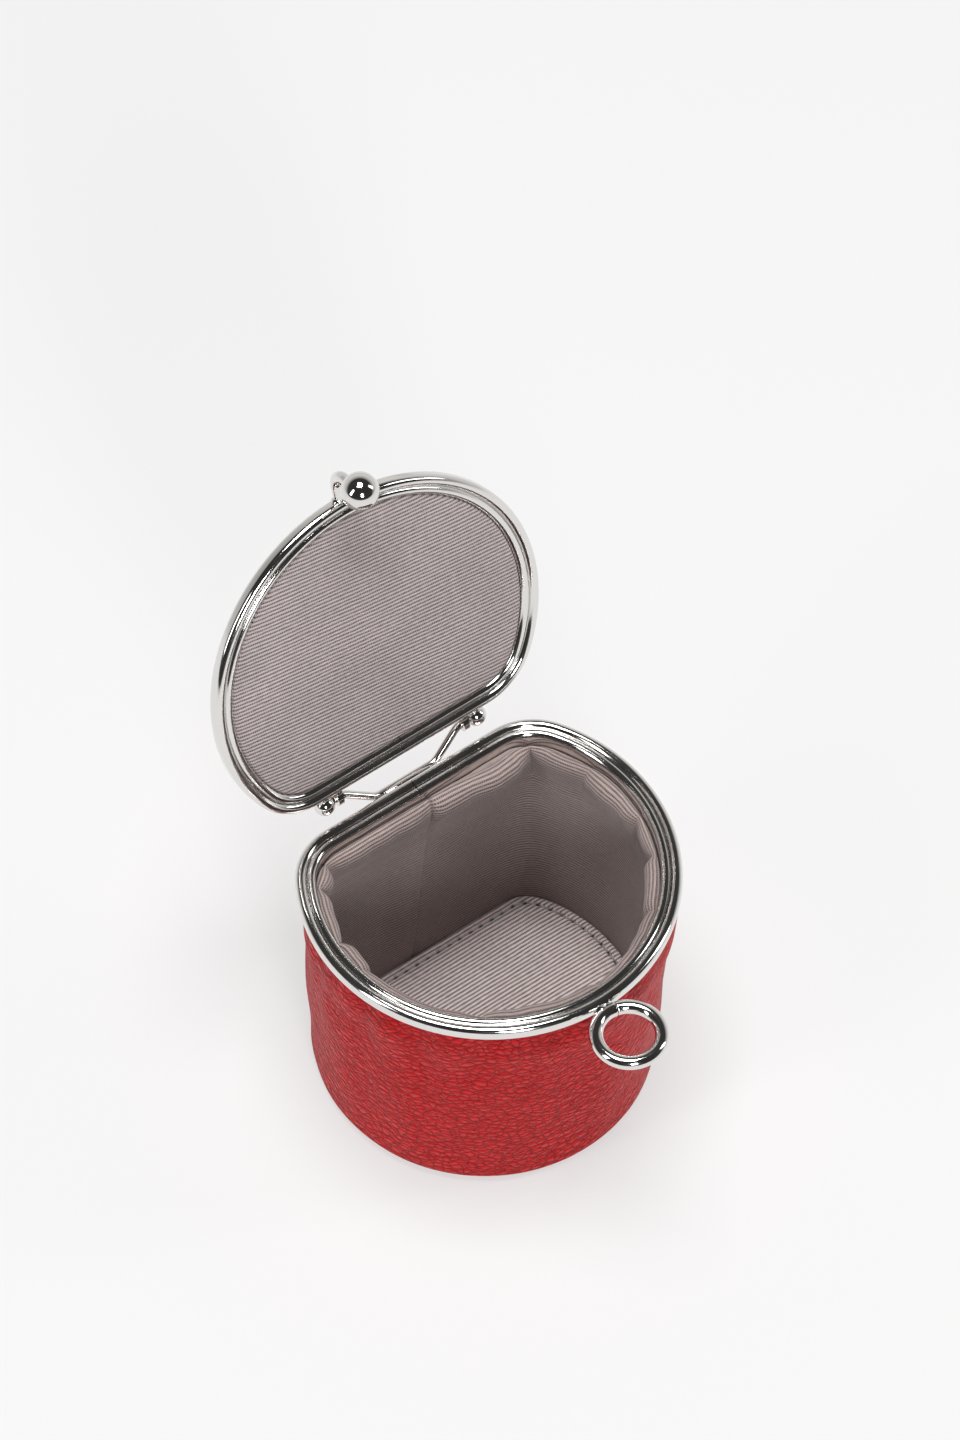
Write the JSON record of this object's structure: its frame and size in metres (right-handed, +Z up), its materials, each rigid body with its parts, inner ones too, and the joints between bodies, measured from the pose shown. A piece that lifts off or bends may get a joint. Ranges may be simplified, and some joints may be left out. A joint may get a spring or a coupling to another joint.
{
  "type": "coin purse",
  "caption": "Hard-bottomed D-shaped coin purse: pebbled leather over board, ribbed lining, rolled metal frame, padded hinged lid with a ball that drops through a ring.",
  "frame": {"origin": "on the resting face, under the centre of the frame's front arc", "axes": "+Z up; -Y is the front with the clasp ring; +Y the back with the hinge; +X to the right seen from the front"},
  "size_m": [0.08, 0.1123, 0.1486],
  "materials": {
    "polished_nickel": "mirror-polished nickel plate with fine scratches",
    "red_leather": "pebbled grain, satin",
    "ribbed_lining": "ribbed grosgrain, slight sheen",
    "fibre_board": "matt pressed fibre board, hidden",
    "foam": "soft foam sheet, hidden",
    "paper_cord": "twisted paper cord, hidden"
  },
  "bodies": {
    "body": {"body_frame": "polished_nickel", "body_frame_cord": "paper_cord", "body_leather_wall": "red_leather", "body_leather_base": "red_leather", "wall_board": "fibre_board", "base_board": "fibre_board", "lining_wall": "ribbed_lining", "base_insert_board": "fibre_board", "lining_base": "ribbed_lining", "hinge_bracket": "polished_nickel", "hinge_ball_left": "polished_nickel", "hinge_ball_right": "polished_nickel", "clasp_ring": "polished_nickel"},
    "lid": {"lid_frame": "polished_nickel", "lid_frame_cord": "paper_cord", "lid_leather": "red_leather", "lid_foam": "foam", "lid_board": "fibre_board", "lid_lining": "ribbed_lining", "hinge_ear_left": "polished_nickel", "hinge_ear_right": "polished_nickel", "clasp_arm": "polished_nickel", "clasp_ball": "polished_nickel"}
  },
  "joints": [
    {"name": "lid_hinge", "type": "hinge", "parent": "body", "child": "lid", "pos_m": [0, 0.03097, 0.06651], "axis": [1, 0, 0], "range_deg": [0, 109.2]}
  ]
}
